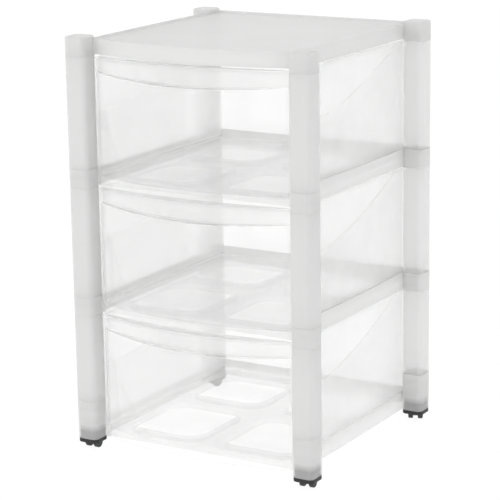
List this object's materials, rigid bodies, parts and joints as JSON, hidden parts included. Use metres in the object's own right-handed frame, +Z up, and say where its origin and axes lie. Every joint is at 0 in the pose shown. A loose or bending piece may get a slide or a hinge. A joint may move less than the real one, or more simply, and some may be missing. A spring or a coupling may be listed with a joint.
{
  "type": "plastic drawer tower",
  "caption": "Free-standing drawer tower of translucent moulded plastic, with bow-fronted drawers in a post-and-frame rack on small twin-wheel casters.",
  "frame": {"origin": "on the floor under the middle of the tower's bounding box, with the wheels standing on z = 0", "axes": "+Z up, -Y to the front where the drawers open, +X to the right seen from the front's own left to right"},
  "size_m": [0.37, 0.353, 0.57],
  "materials": {
    "frosted_plastic": "frosted translucent polypropylene, fine moulded texture",
    "clear_plastic": "clear to slightly milky polypropylene, smooth",
    "black_plastic": "satin black moulded plastic",
    "wheel_plastic": "hard black wheel plastic, slightly scuffed tread",
    "steel": "bright zinc-plated steel"
  },
  "bodies": {
    "tower": {"top_panel": "frosted_plastic", "upper_shelf_frame": "frosted_plastic", "lower_shelf_frame": "frosted_plastic", "base_frame": "frosted_plastic", "post_front_left_top": "frosted_plastic", "post_front_left_middle": "frosted_plastic", "post_front_left_bottom": "frosted_plastic", "post_front_right_top": "frosted_plastic", "post_front_right_middle": "frosted_plastic", "post_front_right_bottom": "frosted_plastic", "post_back_left_top": "frosted_plastic", "post_back_left_middle": "frosted_plastic", "post_back_left_bottom": "frosted_plastic", "post_back_right_top": "frosted_plastic", "post_back_right_middle": "frosted_plastic", "post_back_right_bottom": "frosted_plastic", "caster_socket_front_left": "black_plastic", "caster_socket_front_right": "black_plastic", "caster_socket_back_left": "black_plastic", "caster_socket_back_right": "black_plastic"},
    "top_drawer": {"drawer_top": "clear_plastic"},
    "middle_drawer": {"drawer_middle": "clear_plastic"},
    "bottom_drawer": {"drawer_bottom": "clear_plastic"},
    "caster_front_left": {"caster_stem_front_left": "steel", "caster_hood_front_left": "black_plastic", "caster_axle_front_left": "steel"},
    "wheel_a_front_left": {"caster_wheel_a_front_left": "wheel_plastic"},
    "wheel_b_front_left": {"caster_wheel_b_front_left": "wheel_plastic"},
    "caster_front_right": {"caster_stem_front_right": "steel", "caster_hood_front_right": "black_plastic", "caster_axle_front_right": "steel"},
    "wheel_a_front_right": {"caster_wheel_a_front_right": "wheel_plastic"},
    "wheel_b_front_right": {"caster_wheel_b_front_right": "wheel_plastic"},
    "caster_back_left": {"caster_stem_back_left": "steel", "caster_hood_back_left": "black_plastic", "caster_axle_back_left": "steel"},
    "wheel_a_back_left": {"caster_wheel_a_back_left": "wheel_plastic"},
    "wheel_b_back_left": {"caster_wheel_b_back_left": "wheel_plastic"},
    "caster_back_right": {"caster_stem_back_right": "steel", "caster_hood_back_right": "black_plastic", "caster_axle_back_right": "steel"},
    "wheel_a_back_right": {"caster_wheel_a_back_right": "wheel_plastic"},
    "wheel_b_back_right": {"caster_wheel_b_back_right": "wheel_plastic"}
  },
  "joints": [
    {"name": "top_drawer_slide", "type": "slide", "parent": "tower", "child": "top_drawer", "axis": [0, -1, 0], "range_m": [0, 0.24]},
    {"name": "middle_drawer_slide", "type": "slide", "parent": "tower", "child": "middle_drawer", "axis": [0, -1, 0], "range_m": [0, 0.24]},
    {"name": "bottom_drawer_slide", "type": "slide", "parent": "tower", "child": "bottom_drawer", "axis": [0, -1, 0], "range_m": [0, 0.24]},
    {"name": "caster_front_left_swivel", "type": "hinge", "parent": "tower", "child": "caster_front_left", "pos_m": [-0.169, -0.1575, 0.0075], "axis": [0, 0, 1], "continuous": true},
    {"name": "wheel_a_front_left_spin", "type": "hinge", "parent": "caster_front_left", "child": "wheel_a_front_left", "pos_m": [-0.169, -0.156, 0.0075], "axis": [1, 0, 0], "continuous": true},
    {"name": "wheel_b_front_left_spin", "type": "hinge", "parent": "caster_front_left", "child": "wheel_b_front_left", "pos_m": [-0.169, -0.156, 0.0075], "axis": [1, 0, 0], "continuous": true},
    {"name": "caster_front_right_swivel", "type": "hinge", "parent": "tower", "child": "caster_front_right", "pos_m": [0.169, -0.1575, 0.0075], "axis": [0, 0, 1], "continuous": true},
    {"name": "wheel_a_front_right_spin", "type": "hinge", "parent": "caster_front_right", "child": "wheel_a_front_right", "pos_m": [0.16887, -0.15601, 0.0075], "axis": [0.9962, 0.0872, 0], "continuous": true},
    {"name": "wheel_b_front_right_spin", "type": "hinge", "parent": "caster_front_right", "child": "wheel_b_front_right", "pos_m": [0.16887, -0.15601, 0.0075], "axis": [0.9962, 0.0872, 0], "continuous": true},
    {"name": "caster_back_left_swivel", "type": "hinge", "parent": "tower", "child": "caster_back_left", "pos_m": [-0.169, 0.1605, 0.0075], "axis": [0, 0, 1], "continuous": true},
    {"name": "wheel_a_back_left_spin", "type": "hinge", "parent": "caster_back_left", "child": "wheel_a_back_left", "pos_m": [-0.16825, 0.1618, 0.0075], "axis": [0.866, -0.5, 0], "continuous": true},
    {"name": "wheel_b_back_left_spin", "type": "hinge", "parent": "caster_back_left", "child": "wheel_b_back_left", "pos_m": [-0.16825, 0.1618, 0.0075], "axis": [0.866, -0.5, 0], "continuous": true},
    {"name": "caster_back_right_swivel", "type": "hinge", "parent": "tower", "child": "caster_back_right", "pos_m": [0.169, 0.1605, 0.0075], "axis": [0, 0, 1], "continuous": true},
    {"name": "wheel_a_back_right_spin", "type": "hinge", "parent": "caster_back_right", "child": "wheel_a_back_right", "pos_m": [0.16849, 0.16191, 0.0075], "axis": [0.9397, 0.342, 0], "continuous": true},
    {"name": "wheel_b_back_right_spin", "type": "hinge", "parent": "caster_back_right", "child": "wheel_b_back_right", "pos_m": [0.16849, 0.16191, 0.0075], "axis": [0.9397, 0.342, 0], "continuous": true}
  ]
}
